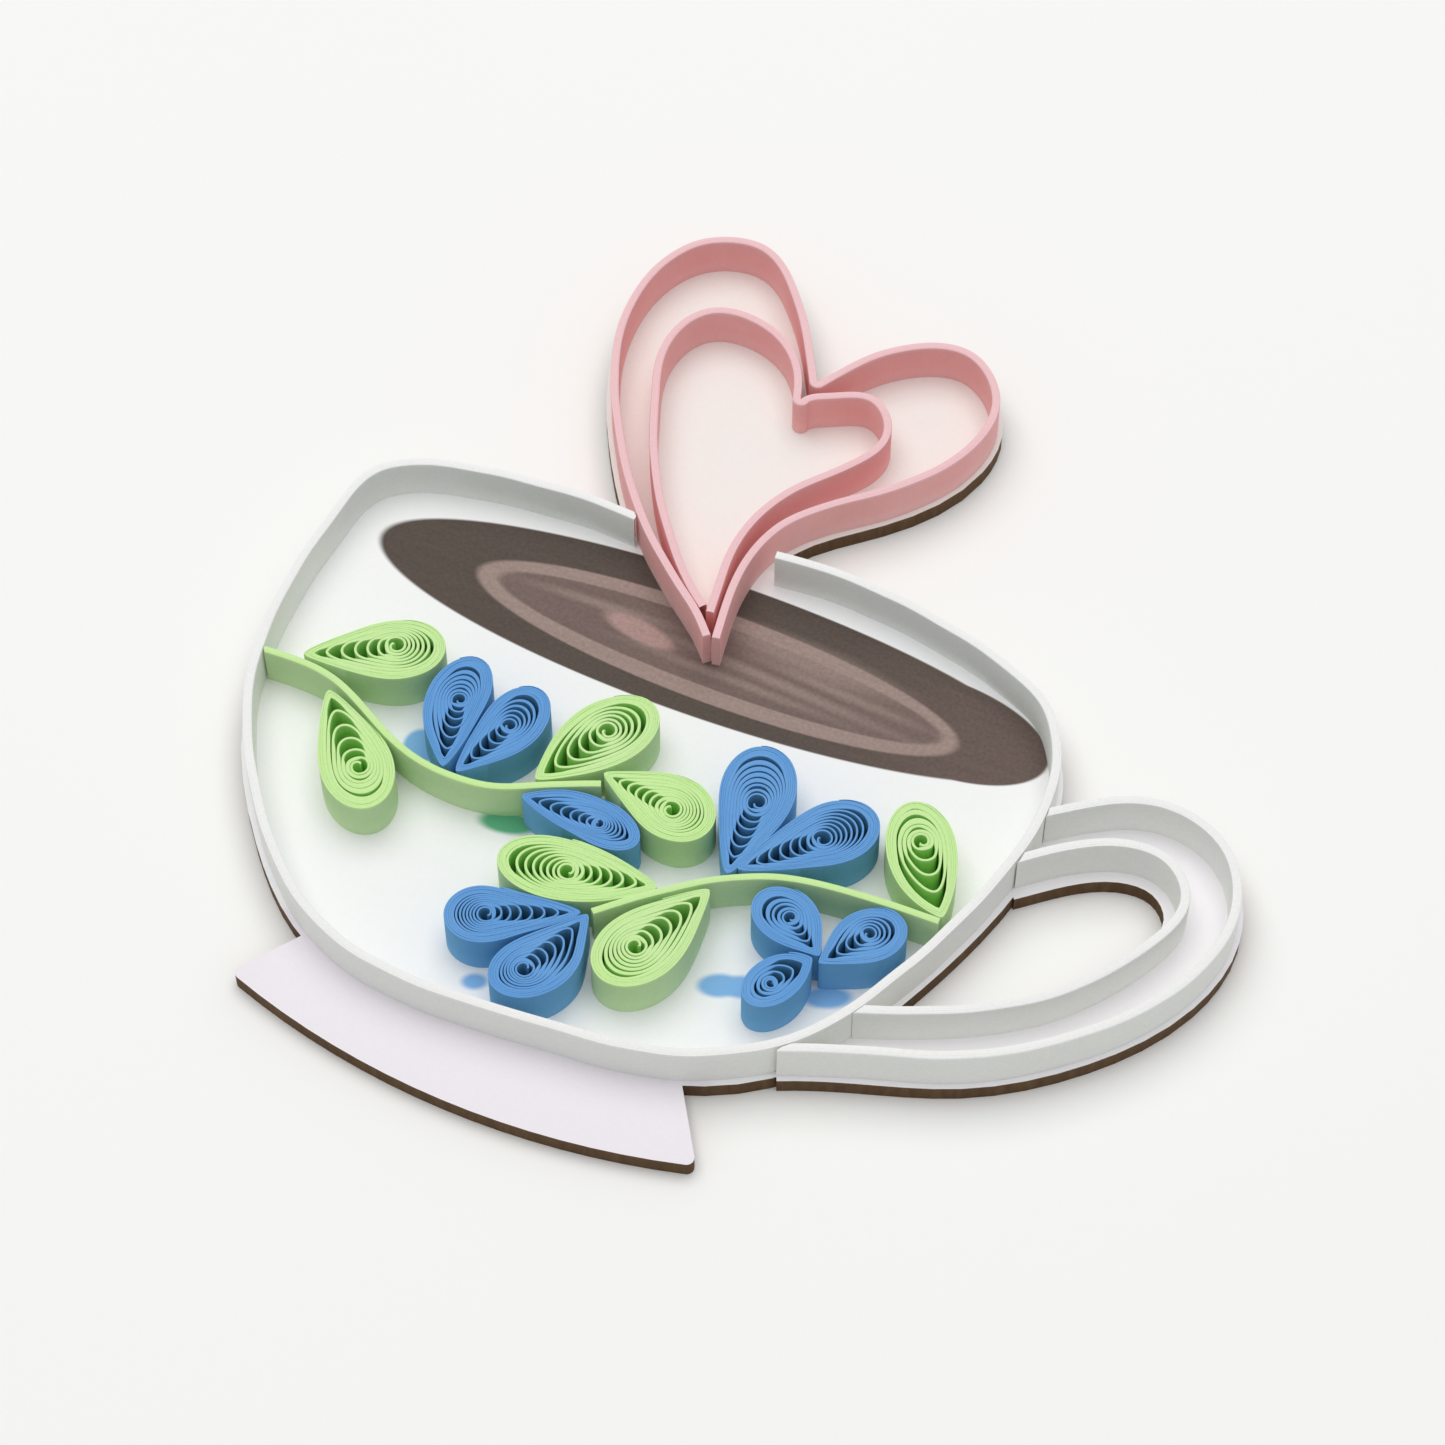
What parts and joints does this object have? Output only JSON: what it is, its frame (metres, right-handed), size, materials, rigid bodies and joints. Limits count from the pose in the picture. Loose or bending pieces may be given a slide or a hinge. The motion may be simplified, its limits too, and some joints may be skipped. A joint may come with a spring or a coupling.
{
  "type": "quilled paper teacup",
  "caption": "Quilled paper picture of a steaming teacup: folded and rolled paper strips stand on edge on a flat card cut to the cup, handle and heart outline.",
  "frame": {"origin": "middle of the bounding box, on the back of the card, which lies on z = 0", "axes": "+Z out of the card's face, +X along the cup's rim towards the handle, +Y up the picture towards the heart"},
  "size_m": [0.1082, 0.1108, 0.007],
  "materials": {
    "white_card": "matte white-faced card with a scorched brown cut edge",
    "coffee_brown": "matte print",
    "cream_swirl": "matte print",
    "white_paper": "matte",
    "pink_paper": "matte",
    "green_paper": "matte",
    "blue_paper": "matte"
  },
  "bodies": {
    "root": {"backing_board": "white_card", "coffee_print": "coffee_brown", "coffee_swirl_print": "cream_swirl", "cup_outline_strip": "white_paper", "handle_outer_strip": "white_paper", "handle_inner_strip": "white_paper", "heart_outer_strip": "pink_paper", "heart_inner_strip": "pink_paper", "stem_left": "green_paper", "stem_right": "green_paper", "leaf_coil_1": "green_paper", "leaf_coil_2": "green_paper", "leaf_coil_3": "green_paper", "leaf_coil_4": "green_paper", "leaf_coil_5": "green_paper", "leaf_coil_6": "green_paper", "leaf_coil_7": "green_paper", "petal_coil_1": "blue_paper", "petal_coil_2": "blue_paper", "petal_coil_3": "blue_paper", "petal_coil_4": "blue_paper", "petal_coil_5": "blue_paper", "petal_coil_6": "blue_paper", "petal_coil_7": "blue_paper", "petal_coil_8": "blue_paper", "petal_coil_9": "blue_paper", "petal_coil_10": "blue_paper"}
  },
  "joints": []
}
